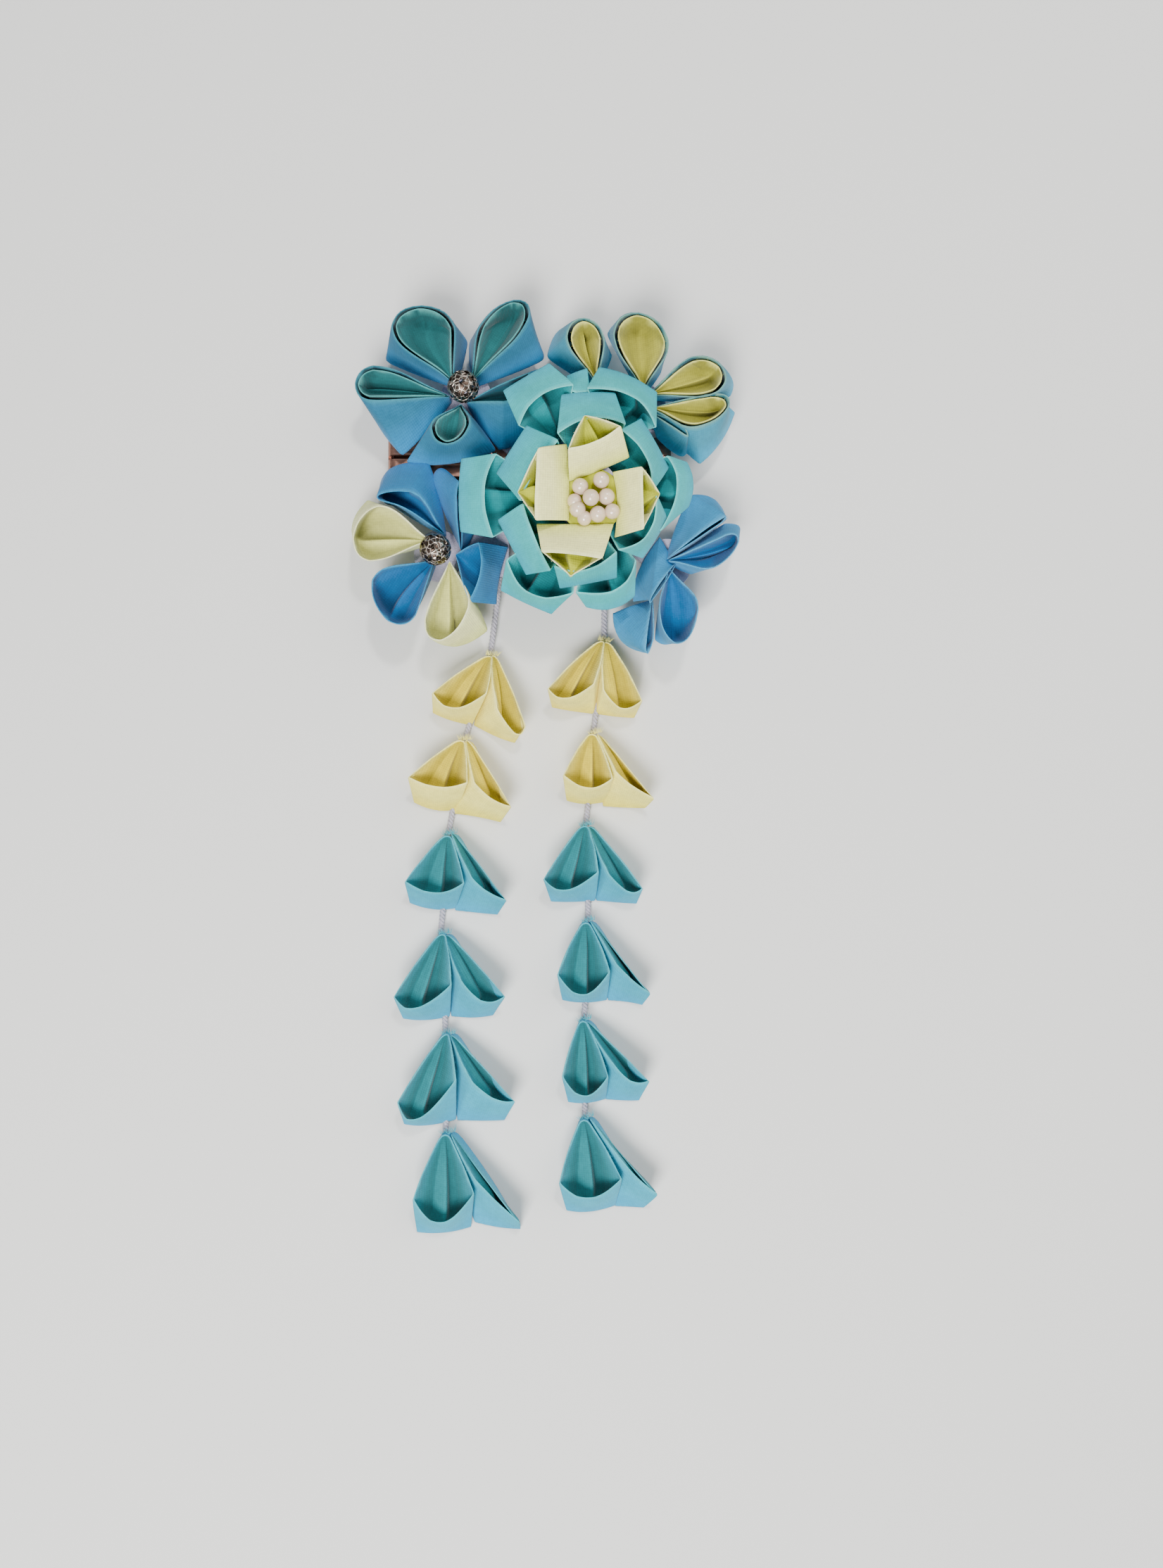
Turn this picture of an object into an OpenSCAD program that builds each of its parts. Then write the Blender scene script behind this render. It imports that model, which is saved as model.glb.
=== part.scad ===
// Flower hairpin of folded cloth petals on a metal hair clip, with two strings of petal drops.
// It lies on its clip: z = 0 is the surface, +Y points from the drops to the flowers.

/* [Flowers] */
// Distance unit for the places of the four side flowers, from the middle
flower_reach = 40; // [39:0.5:43]
// Length of the longest side petal, from the flower's middle
side_l = 24; // [20:0.5:24.5]
// Height of a side petal
side_h = 10.2; // [8:0.2:10.4]
// Reach of the big flower's outer ring, from the middle
big_r = 30; // [28:0.5:32]
// Height of a petal of the big flower
big_h = 8; // [7:0.2:8.6]
// Rise from one ring of the big flower to the next
ring_rise = 5; // [4.8:0.1:5.4]
// Thickness of the folded cloth
cloth_t = 1; // [0.8:0.1:1.3]
// Height of the crease along the floor of each petal
crease_h = 2.4; // [1:0.2:3]

/* [Pearls and beads] */
// Diameter of a pearl
pearl_d = 4; // [3.4:0.1:4.2]
// Diameter of a pierced metal bead
bead_d = 8; // [6:0.5:9]
// Wall of a pierced metal bead
bead_t = 0.6; // [0.4:0.1:0.8]
// Diameter of the holes in a metal bead
bead_hole_d = 1.5; // [0.8:0.1:1.6]

/* [Base and clip] */
// Thickness of the base plate
base_t = 2.6; // [2.2:0.2:3.2]
// Radius of the plate under the big flower
base_r = 20; // [17:0.5:21]
// Radius of the plate under a side flower
lobe_r = 6.5; // [5:0.5:8]
// Length of the clip
clip_l = 74; // [60:1:84]
// Width of the clip
clip_w = 10; // [8:0.5:13]
// Thickness of the clip's metal
clip_t = 0.8; // [0.6:0.1:1]
// Space between the clip's two leaves at the bend
clip_gap = 2.8; // [2.2:0.1:3.2]
// Place of the clip's middle along it, from the middle of the big flower
clip_x = -12.3; // [-16:0.1:-8]
// Place of the clip's middle across it, from the middle of the big flower
clip_y = 11.6; // [8:0.2:14]
// Width of the slit in the clip's upper leaf
slit_w = 1; // [0.6:0.1:2]

/* [Strings] */
// Diameter of the string
cord_d = 1.7; // [1.4:0.1:1.9]
// Length of a drop's petal
drop_l = 23.5; // [20:0.5:24]
// Height of a drop's petal
drop_h = 10; // [8:0.2:11]

/* [Hidden] */
// Clearance between pieces
gap = 0.3;
clip_h = 2 * clip_t + clip_gap;
base_top = clip_h + base_t;
side_z = base_top + gap;
outer_z = side_z + side_h + gap;
middle_z = outer_z + ring_rise;
inner_z = middle_z + ring_rise;
// Middle of the clip, seen from the middle of the big flower
clip_at = [clip_x, clip_y];
arm_w = lobe_r;
tab_w = 3 * cord_d;
// Place of a wall's middle height between its seat and its rim
belly = 0.36;

// Middles of the side flowers, [x, y] as shares of flower_reach
teal_at = [-0.71, 0.66] * flower_reach;
lime_at = [0.42, 0.585] * flower_reach;
cream_at = [-0.885, -0.365] * flower_reach;
azure_at = [0.585, -0.42] * flower_reach;
// Middle of the pearls' pit
pit_at = [0.13, -0.16] * big_r;
// Steps of the core that carries the big flower's rings, [x, y, radius] as shares of big_r
core_steps = [
    [0.00, 0.00, 0.46],
    [0.06, -0.08, 0.32],
    [0.08, -0.10, 0.27]
];

// Half outline of a round petal, a row for each point from its tip to the middle of its back:
// [seat along, seat across, rim along, rim across, rim height]
round_form = [
    [0.00, 0.00, 0.00, 0.00, 0.46],
    [0.20, 0.24, 0.18, 0.26, 0.60],
    [0.44, 0.52, 0.38, 0.58, 0.76],
    [0.68, 0.80, 0.60, 0.88, 0.88],
    [0.87, 1.00, 0.79, 1.00, 0.96],
    [0.94, 0.66, 0.92, 0.78, 1.00],
    [0.99, 0.32, 0.98, 0.42, 1.00],
    [1.00, 0.00, 1.00, 0.00, 1.00]
];
// The same for a folded petal, whose back is a flat band between two corners
folded_form = [
    [0.00, 0.00, 0.00, 0.00, 0.30],
    [0.22, 0.30, 0.24, 0.36, 0.42],
    [0.46, 0.66, 0.50, 0.72, 0.56],
    [0.70, 1.00, 0.76, 1.00, 0.72],
    [0.88, 0.94, 0.90, 0.82, 0.86],
    [0.99, 0.78, 0.97, 0.52, 0.95],
    [1.00, 0.38, 1.00, 0.24, 1.00],
    [1.00, 0.00, 1.00, 0.00, 1.00]
];
// The same for a petal of a drop
drop_form = [
    [0.00, 0.00, 0.00, 0.00, 0.34],
    [0.24, 0.34, 0.28, 0.42, 0.50],
    [0.50, 0.74, 0.56, 0.86, 0.70],
    [0.76, 1.00, 0.80, 1.00, 0.88],
    [0.99, 0.84, 0.93, 0.74, 0.96],
    [1.00, 0.40, 0.99, 0.36, 1.00],
    [1.00, 0.00, 1.00, 0.00, 1.00]
];

// Petals of a side flower:
// [seat turn, seat reach, seat width, rim turn, rim reach, rim width, rise]
// Reaches and widths are shares of side_l, the rise is a share of side_h.
teal_petals = [
    [124.5, 0.96, 1.02, 127, 0.97, 0.56, 1.00],
    [60.5, 0.95, 1.02, 58, 0.98, 0.52, 1.00],
    [190.5, 0.94, 1.00, 171, 0.94, 0.40, 0.96],
    [259, 0.84, 0.98, 258, 0.62, 0.46, 0.90],
    [338, 0.80, 1.04, 352, 0.76, 0.34, 0.84]
];
lime_petals = [
    [148, 1.09, 0.55, 131, 1.00, 0.40, 0.92],
    [94, 0.90, 0.76, 95, 0.91, 0.54, 1.00],
    [22, 0.96, 0.58, 20, 1.00, 0.42, 1.00],
    [338, 0.98, 0.66, 349, 0.96, 0.36, 0.94],
    [296, 0.72, 0.48, 302, 0.72, 0.24, 0.84]
];
cream_petals = [
    [117, 0.90, 0.68, 119, 0.82, 0.48, 0.90],
    [170, 0.88, 0.60, 165, 0.88, 0.52, 0.96],
    [225, 0.88, 0.74, 229, 0.90, 0.54, 0.96],
    [280, 0.98, 0.80, 274, 0.98, 0.44, 0.98],
    [337, 0.84, 0.74, 340, 0.66, 0.50, 0.92],
    [69, 0.86, 0.56, 72, 0.74, 0.34, 0.90]
];
azure_petals = [
    [61, 0.80, 0.71, 45, 0.80, 0.20, 0.90],
    [10, 0.76, 0.58, 12, 0.78, 0.42, 0.94],
    [288, 0.86, 0.60, 285, 0.90, 0.44, 0.96],
    [250, 1.02, 0.48, 256, 0.98, 0.18, 0.90],
    [204, 0.84, 0.80, 226, 0.62, 0.46, 0.90]
];

// Petals of the big flower's rings:
// [seat turn, tip, seat reach, seat width, rim turn, rim reach, rim width, rise]
// The tip, reaches and widths are shares of big_r, the rise is a share of big_h.
outer_petals = [
    [115, 0.36, 1.01, 0.61, 119, 0.80, 0.66, 0.86],
    [65, 0.36, 1.02, 0.60, 60, 0.82, 0.66, 0.86],
    [359, 0.42, 0.97, 0.60, 355, 0.84, 0.66, 0.86],
    [289, 0.41, 1.00, 0.57, 292, 0.93, 0.62, 0.90],
    [245, 0.36, 1.02, 0.58, 242, 0.93, 0.64, 0.90],
    [181, 0.36, 0.98, 0.62, 185, 0.76, 0.70, 0.86],
    [89.5, 0.70, 1.00, 0.14, 89.5, 0.94, 0.12, 0.70]
];
middle_petals = [
    [81, 0.28, 0.70, 0.52, 75, 0.50, 0.54, 1.00],
    [26, 0.31, 0.72, 0.52, 20, 0.57, 0.54, 1.00],
    [328, 0.40, 0.75, 0.52, 326, 0.66, 0.52, 1.00],
    [276, 0.39, 0.76, 0.52, 275, 0.70, 0.53, 1.00],
    [226, 0.30, 0.69, 0.50, 223, 0.56, 0.52, 1.00],
    [152, 0.28, 0.64, 0.52, 150, 0.44, 0.56, 1.00]
];
// Petals round the pearls, with their backs to the pit:
// [turn, pit edge, side shift, length, width, band, rise]
// Lengths are shares of big_r, the rise is a share of big_h.
inner_petals = [
    [111, 0.20, -0.20, 0.34, 0.48, 0.22, 0.94],
    [180, 0.18, -0.16, 0.35, 0.56, 0.25, 0.90],
    [270, 0.20, -0.11, 0.28, 0.48, 0.20, 0.90],
    [0, 0.17, -0.02, 0.27, 0.54, 0.19, 0.90]
];

// Pearls in the pit, [x, y, lift] as shares of pearl_d
pearls = [
    [-0.70, 0.66, 0.04],
    [0.56, 1.04, 0.10],
    [0.88, 0.06, 0.02],
    [-0.06, -0.10, 0.50],
    [-0.86, -0.70, 0.08],
    [0.36, -1.00, 0.06]
];

// Drops from the top down, with two petals each:
// [x, y, left turn, left reach, left width, right turn, right reach, right width]
// Places, reaches and widths are shares of drop_l.
left_drops = [
    [-0.96, -1.68, 240, 0.84, 0.74, 280, 1.02, 0.50],
    [-1.25, -2.64, 240, 0.88, 0.80, 286, 1.00, 0.58],
    [-1.43, -3.69, 252, 0.84, 0.80, 295, 1.04, 0.50],
    [-1.51, -4.80, 257, 0.98, 0.76, 298, 1.02, 0.52],
    [-1.46, -5.91, 256, 1.04, 0.70, 297, 1.08, 0.58],
    [-1.46, -7.03, 264, 1.10, 0.78, 302, 1.20, 0.44]
];
right_drops = [
    [0.31, -1.52, 242, 0.88, 0.64, 282, 0.94, 0.60],
    [0.19, -2.58, 250, 0.84, 0.62, 291, 1.00, 0.66],
    [0.11, -3.60, 254, 0.84, 0.76, 295, 1.02, 0.52],
    [0.14, -4.71, 261, 0.86, 0.72, 299, 1.06, 0.46],
    [0.09, -5.79, 266, 0.92, 0.68, 303, 1.02, 0.52],
    [0.10, -6.88, 267, 1.02, 0.70, 303, 1.16, 0.44]
];
// Share of a drop's petal that the rim keeps
rim_keep = 0.86;

// Routes of the two strings from the base to the last drops
left_route = [
    [-20, -20], [-21, -28], [-22.6, -39.5], [-29.3, -62], [-33.6, -86.7],
    [-35.6, -112.8], [-34.4, -139], [-34.3, -165], [-34.3, -168.6]
];
right_route = [
    [7, -20], [7.4, -27], [7.3, -35.7], [4.5, -60.6], [2.6, -84.6],
    [3.2, -110.7], [2.1, -136], [2.3, -161.7], [2.3, -165.4]
];
cord_sides = 8;

function mix(a, b, s) = a * (1 - s) + b * s;
function turned(p, angle) =
    [p.x * cos(angle) - p.y * sin(angle), p.x * sin(angle) + p.y * cos(angle)];
function quad(a, b, c, d) = [[a, b, c], [a, c, d]];

// A loop is [turn, tip, reach, half width]. A point on it lies along and across by the shares
// given, on one side, and a wall's thickness further in where wall isn't 0.
function loop_xy(loop, along, across, side, wall) =
    let (
        lead = 2.2 * wall,
        x = loop[1] + lead + along * (loop[2] - loop[1] - lead - wall),
        y = across == 0 ? 0 : max(gap / 2, loop[3] * across - wall)
    ) turned([x, side * y], loop[0]);

function wall_xy(seat, rim, row, side, s, wall) =
    mix(loop_xy(seat, row[0], row[1], side, wall), loop_xy(rim, row[2], row[3], side, wall), s);

// Points round a petal at one level, where s is 0 in plan at the seat and 1 at the rim
function petal_ring(form, seat, rim, s, wall, h, low) = [
    for (k = [0 : 2 * len(form) - 3])
        let (
            i = k < len(form) ? k : 2 * len(form) - 2 - k,
            p = wall_xy(seat, rim, form[i], k < len(form) ? -1 : 1, s, wall)
        )
        [p.x, p.y, max(low, h * form[i][4])]
];

// Points along the crease in a petal's floor, between its two ends
function crease_line(form, seat, rim, s, floor_z, rise) = [
    for (i = [1 : len(form) - 2])
        let (
            row = [form[i][0], 0, form[i][2], 0],
            p = wall_xy(seat, rim, row, 1, s, cloth_t)
        )
        [p.x, p.y, floor_z + rise * (1 - i / (len(form) - 1))]
];

// A hollow cloth petal, open at its rim, between a seat loop and a rim loop. Its floor's top
// lies at floor_z, and the crease rises from it.
module petal(form, seat, rim, h, floor_z = cloth_t, rise = crease_h) {
    n = 2 * len(form) - 2;
    half = len(form) - 1;
    low = belly * min(1, 2 * floor_z / h);
    rings = [
        petal_ring(form, seat, rim, 0, 0, 0, 0),
        petal_ring(form, seat, rim, belly, 0, h / 2, 0),
        petal_ring(form, seat, rim, 1, 0, h, 0),
        petal_ring(form, seat, rim, 1, cloth_t, h, 0),
        petal_ring(form, seat, rim, belly, cloth_t, h / 2, floor_z + gap),
        petal_ring(form, seat, rim, low, cloth_t, 0, floor_z)
    ];
    last = len(rings) - 1;
    function at(j, k) = j * n + k % n;
    function crease(k) =
        let (i = k % n <= half ? k % n : n - k % n)
        i == 0 ? at(last, 0) : i == half ? at(last, half) : len(rings) * n + i - 1;
    walls = [
        for (j = [0 : last - 1], k = [0 : n - 1])
            each quad(at(j, k), at(j + 1, k), at(j + 1, k + 1), at(j, k + 1))
    ];
    floor_faces = [
        for (k = [0 : n - 1])
            each quad(at(last, k), crease(k), crease(k + 1), at(last, k + 1))
    ];
    whole = [for (f = floor_faces) if (f[0] != f[1] && f[1] != f[2] && f[2] != f[0]) f];
    points = [for (r = rings) each r, each crease_line(form, seat, rim, low, floor_z, rise)];
    polyhedron(points, concat(walls, whole, [[for (k = [0 : n - 1]) k]]));
}

module side_petal(row, at) {
    tip = 0.12 * side_l;
    seat = [row[0], tip, row[1] * side_l, row[2] * side_l / 2];
    rim = [row[3], tip, row[4] * side_l, row[5] * side_l / 2];
    translate([at.x, at.y, side_z]) petal(round_form, seat, rim, row[6] * side_h);
}

module ring_petal(row, z) {
    seat = [row[0], row[1] * big_r, row[2] * big_r, row[3] * big_r / 2];
    rim = [row[4], row[1] * big_r, row[5] * big_r, row[6] * big_r / 2];
    translate([0, 0, z]) petal(folded_form, seat, rim, row[7] * big_h);
}

module inner_petal(row) {
    at = pit_at + turned([row[1] + row[3], row[2]] * big_r, row[0]);
    seat = [180, 0, row[3] * big_r, row[4] * big_r / 2];
    rim = [180, 0, (row[3] - row[5]) * big_r, row[4] * big_r / 2];
    translate([at.x, at.y, inner_z])
        rotate([0, 0, row[0]]) petal(folded_form, seat, rim, row[6] * big_h);
}

// Two petals that share their tips, with a tunnel for the string under their floors
module drop(row, route, i) {
    tip = [row[0], row[1]] * drop_l;
    from = route[i + 2];
    to = route[min(i + 3, len(route) - 1)];
    way = to - from;
    tunnel_h = cord_d + gap;
    difference() {
        translate([tip.x, tip.y, 0])
            for (loop = [[row[2], 0, row[3], row[4], 1], [row[5], -gap, row[6], row[7], 0.92]])
                petal(drop_form, [loop[0], loop[1], loop[2] * drop_l, loop[3] * drop_l / 2],
                    [loop[0], loop[1], rim_keep * loop[2] * drop_l, loop[3] * drop_l / 2],
                    loop[4] * drop_h, tunnel_h + cloth_t, 0.3 * crease_h);
        translate([from.x, from.y, 0])
            rotate([0, 0, atan2(way.y, way.x)])
                translate([-drop_l / 2, -cord_d / 2 - gap, -1])
                    cube([2 * drop_l, cord_d + 2 * gap, tunnel_h + 1]);
    }
}

// Levels of a string: it leaves the base's edge and comes down to the surface
function route_z(i) =
    i == 0 ? clip_h + base_t / 2 : i == 1 ? (clip_h + cord_d) / 3 : cord_d / 2;

module cord(route) {
    pts = [for (i = [0 : len(route) - 1]) [route[i].x, route[i].y, route_z(i)]];
    fine = [
        for (i = [0 : len(pts) - 2])
            let (steps = max(1, round(norm(pts[i + 1] - pts[i]) / (3 * cord_d))))
            for (j = [0 : steps - 1]) mix(pts[i], pts[i + 1], j / steps),
        pts[len(pts) - 1]
    ];
    last = len(fine) - 1;
    rings = [
        for (i = [0 : last])
            let (
                way = i == 0 ? [0, -1, 0] : fine[min(last, i + 1)] - fine[max(0, i - 1)],
                across = [-way.y, way.x, 0] / norm([way.x, way.y])
            )
            for (k = [0 : cord_sides - 1])
                let (a = 360 * (k + 0.5) / cord_sides)
                fine[i] + cord_d / 2 * (across * cos(a) + [0, 0, 1] * sin(a))
    ];
    function at(i, k) = i * cord_sides + k % cord_sides;
    skin = [
        for (i = [0 : last - 1], k = [0 : cord_sides - 1])
            each quad(at(i, k), at(i + 1, k), at(i + 1, k + 1), at(i, k + 1))
    ];
    polyhedron(rings, concat(
        skin,
        [[for (k = [0 : cord_sides - 1]) at(0, k)]],
        [[for (k = [0 : cord_sides - 1]) at(last, cord_sides - 1 - k)]]
    ));
}

// Plate with an arm to each side flower, a tab for each string and a stepped core
module base() {
    levels = [base_top, outer_z - gap, middle_z - gap, inner_z - gap];
    color("thistle") {
        translate([0, 0, clip_h]) linear_extrude(base_t) {
            circle(r = base_r);
            for (at = [teal_at, lime_at, cream_at, azure_at]) {
                translate(at) circle(r = lobe_r);
                rotate(atan2(at.y, at.x)) translate([0, -arm_w / 2]) square([norm(at), arm_w]);
            }
            for (route = [left_route, right_route])
                translate([route[0].x - tab_w / 2, route[0].y]) square([tab_w, base_r / 2]);
        }
        for (i = [0 : 2])
            translate([core_steps[i].x, core_steps[i].y, 0] * big_r + [0, 0, levels[i]])
                cylinder(h = levels[i + 1] - levels[i], r = core_steps[i].z * big_r);
    }
}

// Sprung strip bent back on itself, with a rolled end that closes it
module clip() {
    roll_d = clip_gap - gap;
    color("rosybrown")
        translate([clip_at.x - clip_l / 2, clip_at.y, 0])
            difference() {
                translate([0, clip_w / 2, 0])
                    rotate([90, 0, 0])
                        linear_extrude(clip_w) {
                            difference() {
                                translate([clip_h / 2, clip_h / 2]) circle(d = clip_h, $fn = 48);
                                translate([clip_h / 2, clip_h / 2])
                                    circle(d = clip_gap, $fn = 48);
                                translate([clip_h / 2, -1]) square([clip_h, clip_h + 2]);
                            }
                            translate([clip_h / 2, 0]) square([clip_l - clip_h / 2, clip_t]);
                            translate([clip_h / 2, clip_h - clip_t])
                                square([clip_l - clip_h / 2, clip_t]);
                            translate([clip_l - roll_d, clip_t + roll_d / 2 - 0.1])
                                circle(d = roll_d, $fn = 48);
                        }
                translate([-1, -slit_w / 2, clip_t + clip_gap / 2])
                    cube([clip_l / 3, slit_w, clip_h]);
            }
}

// Hollow pierced ball that rests on the tips of a flower's petals
module metal_bead(at) {
    z = side_z + round_form[0][4] * side_h + bead_d / 2 - 0.5;
    color("gray")
        translate([at.x, at.y, z])
            difference() {
                sphere(d = bead_d, $fn = 48);
                sphere(d = bead_d - 2 * bead_t, $fn = 48);
                cylinder(h = 2 * bead_d, d = bead_hole_d, center = true, $fn = 24);
                for (a = [0 : 45 : 135])
                    rotate([90, 0, a])
                        cylinder(h = 2 * bead_d, d = bead_hole_d, center = true, $fn = 24);
                for (a = [0 : 45 : 315])
                    rotate([50, 0, a + 22.5])
                        cylinder(h = 2 * bead_d, d = bead_hole_d, center = true, $fn = 24);
            }
}

module pearl_group() {
    color("linen")
        for (p = pearls)
            translate([pit_at.x, pit_at.y, inner_z - gap + pearl_d / 2] + p * pearl_d)
                sphere(d = pearl_d, $fn = 32);
}

// Moves the origin to the middle of the clip's underside
module placed() {
    translate([-clip_at.x, -clip_at.y, 0]) children();
}

placed() clip();
placed() base();
for (i = [1 : len(teal_petals)])
    placed() color("steelblue") side_petal(teal_petals[i - 1], teal_at);
for (i = [1 : len(lime_petals)])
    placed() color("yellowgreen") side_petal(lime_petals[i - 1], lime_at);
for (i = [1 : len(cream_petals)])
    placed() color(i == 2 || i == 4 ? "palegoldenrod" : "dodgerblue")
            side_petal(cream_petals[i - 1], cream_at);
for (i = [1 : len(azure_petals)])
    placed() color("deepskyblue") side_petal(azure_petals[i - 1], azure_at);
for (i = [1 : len(outer_petals)])
    placed() color("mediumturquoise") ring_petal(outer_petals[i - 1], outer_z);
for (i = [1 : len(middle_petals)])
    placed() color("turquoise") ring_petal(middle_petals[i - 1], middle_z);
for (i = [1 : len(inner_petals)])
    placed() color("lemonchiffon") inner_petal(inner_petals[i - 1]);
placed() pearl_group();  // pearls
placed() metal_bead(teal_at);  // teal_bead
placed() metal_bead(cream_at);  // cream_bead
placed() color("silver") cord(left_route);  // left_string
placed() color("silver") cord(right_route);  // right_string
for (i = [1 : len(left_drops)])
    placed() color(i < 3 ? "khaki" : "cadetblue") drop(left_drops[i - 1], left_route, i - 1);
for (i = [1 : len(right_drops)])
    placed() color(i < 3 ? "khaki" : "cadetblue") drop(right_drops[i - 1], right_route, i - 1);
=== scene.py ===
import math
import random
import bmesh
import bpy
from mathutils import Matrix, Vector, noise


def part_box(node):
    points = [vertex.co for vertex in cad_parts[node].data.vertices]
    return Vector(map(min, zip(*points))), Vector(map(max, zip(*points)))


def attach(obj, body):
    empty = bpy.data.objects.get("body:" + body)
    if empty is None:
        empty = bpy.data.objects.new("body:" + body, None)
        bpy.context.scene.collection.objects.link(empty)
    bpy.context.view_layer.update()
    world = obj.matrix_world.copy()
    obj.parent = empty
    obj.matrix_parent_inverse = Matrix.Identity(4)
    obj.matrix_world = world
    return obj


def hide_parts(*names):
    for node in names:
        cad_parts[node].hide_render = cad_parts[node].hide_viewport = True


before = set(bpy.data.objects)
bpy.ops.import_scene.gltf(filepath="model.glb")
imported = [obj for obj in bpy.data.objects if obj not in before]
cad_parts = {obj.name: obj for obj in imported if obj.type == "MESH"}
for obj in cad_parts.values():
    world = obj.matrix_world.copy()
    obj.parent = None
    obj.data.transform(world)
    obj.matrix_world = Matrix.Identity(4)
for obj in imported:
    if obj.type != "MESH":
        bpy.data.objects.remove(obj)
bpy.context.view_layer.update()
mm = 0.001
scene = bpy.context.scene
noise.seed_set(5)  # the wrinkles are the same in each run


def hexColor(text):
    parts = [int(text[i:i + 2], 16) / 255 for i in (0, 2, 4)]
    return [c / 12.92 if c <= 0.04045 else ((c + 0.055) / 1.055) ** 2.4 for c in parts] + [1]


def mix(a, b, share):
    return a + (b - a) * share


# Places are in millimetres from the middle of the big flower, as in the solids' tables.
# The frame's origin, the middle of the clip, seen from there:
clipMiddle = (-12.3, 11.6)


def inFrame(x, y, z=0.0):
    return Vector((x - clipMiddle[0], y - clipMiddle[1], z)) * mm


# Camera at the photograph's place, straight above
view = {"place": (13.7, -85.3, 330.0), "fieldHeight": 414.4, "sensor": 36.0}
camera = bpy.data.objects.new("camera", bpy.data.cameras.new("camera"))
camera.location = Vector(view["place"]) * mm
camera.data.sensor_width = view["sensor"]
camera.data.lens = view["sensor"] * view["place"][2] / view["fieldHeight"]
camera.data.clip_start = 0.01
scene.collection.objects.link(camera)
scene.camera = camera


def addNode(tree, kind, links=None, **settings):
    node = tree.nodes.new(kind)
    for name, value in settings.items():
        setattr(node, name, value)
    for socket, value in (links or {}).items():
        if isinstance(value, bpy.types.NodeSocket):
            tree.links.new(value, node.inputs[socket])
        else:
            node.inputs[socket].default_value = value
    return node


def newMaterial(name):
    material = bpy.data.materials.new(name)
    material.use_nodes = True
    tree = material.node_tree
    return material, tree, tree.nodes["Principled BSDF"]


# A grid of quads with each corner where point(column, row) says
def placeGrid(bm, columns, rows, point):
    made = bmesh.ops.create_grid(bm, x_segments=columns, y_segments=rows, size=1)["verts"]
    cells = {}
    for vert in made:
        i = round((vert.co.x + 1) / 2 * columns)
        j = round((vert.co.y + 1) / 2 * rows)
        cells[vert] = (i, j)
        vert.co = point(i, j)
    return cells


def makePiece(name, bm, materials, replaced=(), level=1):
    mesh = bpy.data.meshes.new(name)
    bm.to_mesh(mesh)
    bm.free()
    piece = bpy.data.objects.new(name, mesh)
    scene.collection.objects.link(piece)
    for material in materials:
        mesh.materials.append(material)
    mesh.shade_smooth()
    if level:
        finish = piece.modifiers.new("smooth", "SUBSURF")
        finish.levels = finish.render_levels = level
    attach(piece, "root")
    if replaced:
        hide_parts(*replaced)
    return piece


# Rayon cord, three strands laid together: a dull silky grey with lilac in it
def cordMaterial():
    material, tree, shader = newMaterial("twistedRayon")
    place = addNode(tree, "ShaderNodeTexCoord")
    fibres = addNode(tree, "ShaderNodeTexNoise", {0: place.outputs["Object"], "Scale": 2600, "Detail": 3})
    shade = addNode(tree, "ShaderNodeMix", {0: fibres.outputs[0], 6: hexColor("77727F"),
                                            7: hexColor("C8C4CE")}, data_type="RGBA")
    bump = addNode(tree, "ShaderNodeBump", {"Height": fibres.outputs[0], "Strength": 0.5, "Distance": 0.0001})
    tree.links.new(shade.outputs[2], shader.inputs["Base Color"])
    tree.links.new(bump.outputs[0], shader.inputs["Normal"])
    shader.inputs["Roughness"].default_value = 0.55
    shader.inputs["Sheen Weight"].default_value = 0.2
    return material


cords = {
    "diameter": 1.7,
    "strands": 3,
    "strandRadius": 0.45,
    "lay": 3.0,  # one full turn of a strand, in millimetres
    "sides": 6,
    "stepsPerTurn": 10,
    "lean": 0.9,  # tilt of a strand's cross section along its turn
    "coarse": 5,  # the path measured for the printed length keeps one point in this many
    "leftRoute": [(-20, -20, 5.7), (-21, -28, 2.03), (-22.6, -39.5, 0.85), (-29.3, -62, 0.85),
                  (-33.6, -86.7, 0.85), (-35.6, -112.8, 0.85), (-34.4, -139, 0.85),
                  (-34.3, -165, 0.85), (-34.3, -168.6, 0.85)],
    "rightRoute": [(7, -20, 5.7), (7.4, -27, 2.03), (7.3, -35.7, 0.85), (4.5, -60.6, 0.85),
                   (2.6, -84.6, 0.85), (3.2, -110.7, 0.85), (2.1, -136, 0.85),
                   (2.3, -161.7, 0.85), (2.3, -165.4, 0.85)],
    "leftLength": 0.1511,
    "rightLength": 0.1466,
}


def pathOf(route, step):
    points = [inFrame(*p) for p in route]
    fine = []
    for start, end in zip(points, points[1:]):
        count = max(1, round((end - start).length / (step * mm)))
        fine += [start.lerp(end, k / count) for k in range(count)]
    fine.append(points[-1])
    for _ in range(3):
        fine = [fine[0]] + [(a + b * 2 + c) / 4 for a, b, c in zip(fine, fine[1:], fine[2:])] + [fine[-1]]
    return fine


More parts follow.
